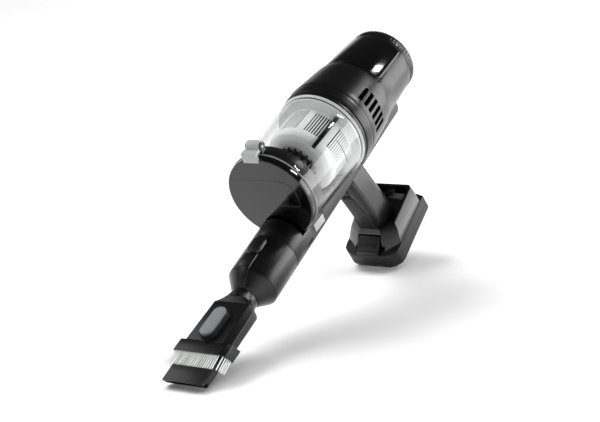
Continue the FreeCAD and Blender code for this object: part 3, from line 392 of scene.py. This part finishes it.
# The cup's ring with its ridges.
ringProfile = [(132.0, 50.0), (132.0, 59.0), (134.2, 59.0), (134.2, 59.9), (140.2, 59.9), (140.2, 50.0)]
ring = turnedRing("cupRing", machine, ringProfile, "dust_cup", satinBlack)
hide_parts("cup_ring")
# two thin milky rings on the cup's ring, painted highlight lines along its edges
for name, along in (("rimHighlightFront", 131.4), ("rimHighlightRear", 133.6)):
    rim = [(along - 0.4, 58.0), (along - 0.4, 60.0), (along + 0.4, 60.0), (along + 0.4, 58.0)]
    turnedRing(name, machine, rim, "dust_cup", frostedBin, rounding=0.25)

# Marks on the lid and the cup.
lidMarks = {
    "height": -0.12,                        # centre of each raised line, just under the lid's face
    "line": 0.5,                            # its thickness, mm
    "outline": [
        (36.0, 26.0), (10.0, 26.5), (-18.0, 26.7), (-26.0, 26.0), (-31.0, 23.7), (-38.0, 18.5), (-41.0, 12.6),
        (-42.5, 4.0), (-42.0, -3.5), (-41.0, -7.5), (-38.6, -9.6), (-33.0, -9.6), (-11.5, -9.0),
    ],
    "dot": (43.6, 24.5),
}
outlinePoints = [(lidMarks["height"], y, z) for y, z in lidMarks["outline"]]
raisedLine("lidOutline", machine, outlinePoints, lidMarks["line"], "lid", glossBlack)
dotShape = bmesh.new()
bmesh.ops.create_uvsphere(dotShape, u_segments=24, v_segments=12, radius=1.3)
bmesh.ops.scale(dotShape, vec=(0.4, 1, 1), verts=dotShape.verts)
bmesh.ops.translate(dotShape, vec=(0.0, *lidMarks["dot"]), verts=dotShape.verts)
bmesh.ops.transform(dotShape, matrix=machine, verts=dotShape.verts)
placed(dotShape, "lidDot", "lid", glossBlack)

fillMark = {"along": 90.5, "radius": 58.8, "top": 24.0, "bottom": -8.0, "tick": 6.0, "line": 0.7}
arcSteps = 10
arcPoints = []
for n in range(arcSteps + 1):
    height = fillMark["top"] + (fillMark["bottom"] - fillMark["top"]) * n / arcSteps
    arcPoints.append((fillMark["along"], -math.sqrt(fillMark["radius"] ** 2 - height ** 2), height))
raisedLine("fillLine", machine, arcPoints, fillMark["line"], "dust_cup", satinBlack)
print("ring and marks made")

# Bristles.
brush = {
    "face": -104.0, "faceHeight": 12.4, "lean": 25.0,   # the collar's leaning front face
    "length": 21.0, "perTuft": 7, "tuftSpread": 0.6, "filament": 0.34, "taper": 0.7, "fan": 3.2,
}
random.seed(7)
bristleShape = bmesh.new()
tuftPlaces = [(-30.0 + 3.0 * n, 10.2) for n in range(21)]
sideTufts = ((34.0, 7.8), (35.2, 4.6), (35.5, 1.4), (35.5, -1.8), (35.2, -5.0))
for side in (-1, 1):
    tuftPlaces += [(side * y, z) for y, z in sideTufts]
for across, up in tuftPlaces:
    root = brush["face"] + (brush["faceHeight"] - up) * math.tan(math.radians(brush["lean"])) + 0.6
    for n in range(brush["perTuft"]):
        around = math.tau * n / brush["perTuft"]
        reach = brush["tuftSpread"] * (0.0 if n == 0 else 0.8)
        start = Vector((root, across + reach * math.cos(around), up + reach * 0.6 * math.sin(around)))
        fanOut = across / 35.0 * brush["fan"]
        spread = Vector((0.0, fanOut + random.uniform(-0.3, 0.3), random.uniform(-0.4, 0.5)))
        end = start + Vector((-brush["length"] + random.uniform(-0.8, 0.4), 0.0, 0.0)) + spread
        run = end - start
        turn = Vector((0, 0, 1)).rotation_difference(run).to_matrix().to_4x4()
        place = Matrix.Translation((start + end) / 2) @ turn
        bmesh.ops.create_cone(bristleShape, cap_ends=True, segments=6, radius1=brush["filament"],
                              radius2=brush["filament"] * brush["taper"], depth=run.length, matrix=place)
bmesh.ops.transform(bristleShape, matrix=tool, verts=bristleShape.verts)
bristlePiece = placed(bristleShape, "nylonBristles", "brush", nylon, smoothBelow=70.0)
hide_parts("bristles")
print("bristles:", len(tuftPlaces) * brush["perTuft"])

# Floor and light.
studio = {
    "floor": 14.0,
    "horizon": 1.0, "overhead": 0.05,      # brightness of the surroundings, low and high
    "sun": 2.2, "sunSize": 34.0,
    "sunFrom": (0.42, 1.28, 1.6),           # where the sun stands, seen from the vacuum
}
floorMesh = bmesh.new()
bmesh.ops.create_grid(floorMesh, x_segments=1, y_segments=1, size=studio["floor"])
floorData = bpy.data.meshes.new("floor")
floorMesh.to_mesh(floorData)
floorMesh.free()
floor = bpy.data.objects.new("floor", floorData)
floorData.materials.append(mouldedPlastic("matt white paint", "#f6f6f6", 0.9, 400.0, 0.0))
bpy.context.scene.collection.objects.link(floor)

world = bpy.data.worlds.new("studio")
world.use_nodes = True
world.node_tree.nodes.clear()
skyPlace = addNode(world, "ShaderNodeTexCoord").outputs["Generated"]
skyParts = addNode(world, "ShaderNodeSeparateXYZ", links={"Vector": skyPlace})
skyFade = addNode(world, "ShaderNodeMapRange", settings={"interpolation_type": "SMOOTHSTEP"},
                  links={"Value": skyParts.outputs["Z"]})
fadeSettings = {"From Min": 0.05, "From Max": 0.45, "To Min": studio["horizon"], "To Max": studio["overhead"]}
for socket, amount in fadeSettings.items():
    skyFade.inputs[socket].default_value = amount
sky = addNode(world, "ShaderNodeBackground", links={"Strength": skyFade.outputs["Result"]}, Color=(1, 1, 1, 1))
addNode(world, "ShaderNodeOutputWorld", links={"Surface": sky.outputs["Background"]})
bpy.context.scene.world = world


def softbox(name, place, aim, width, height, power, mirrored=True):
    light = bpy.data.lights.new(name, "AREA")
    light.shape = "RECTANGLE"
    light.size = width
    light.size_y = height
    light.energy = power
    lamp = bpy.data.objects.new(name, light)
    lamp.location = place
    lamp.rotation_euler = (Vector(aim) - Vector(place)).to_track_quat("-Z", "Y").to_euler()
    lamp.visible_glossy = mirrored
    bpy.context.scene.collection.objects.link(lamp)


sunLight = bpy.data.lights.new("window sun", "SUN")
sunLight.energy = studio["sun"]
sunLight.angle = math.radians(studio["sunSize"])
sunLamp = bpy.data.objects.new("window sun", sunLight)
sunLamp.rotation_euler = Vector(studio["sunFrom"]).to_track_quat("Z", "Y").to_euler()
sunLamp.visible_glossy = False
bpy.context.scene.collection.objects.link(sunLamp)
softbox("right card", (1.0, -1.15, 0.38), (0.05, 0.0, 0.2), 1.7, 0.8, 15)
softbox("high card", (1.055, -0.92, 1.29), (0.15, 0.0, 0.25), 0.15, 0.40, 6)
softbox("front card", (-0.45, 1.15, 1.2), (0.0, 0.0, 0.1), 1.6, 0.6, 5)
softbox("overhead fill", (1.2, 1.0, 3.0), (1.2, 1.0, 0.0), 6.5, 6.5, 120, mirrored=False)
print("floor, lights and camera are set")
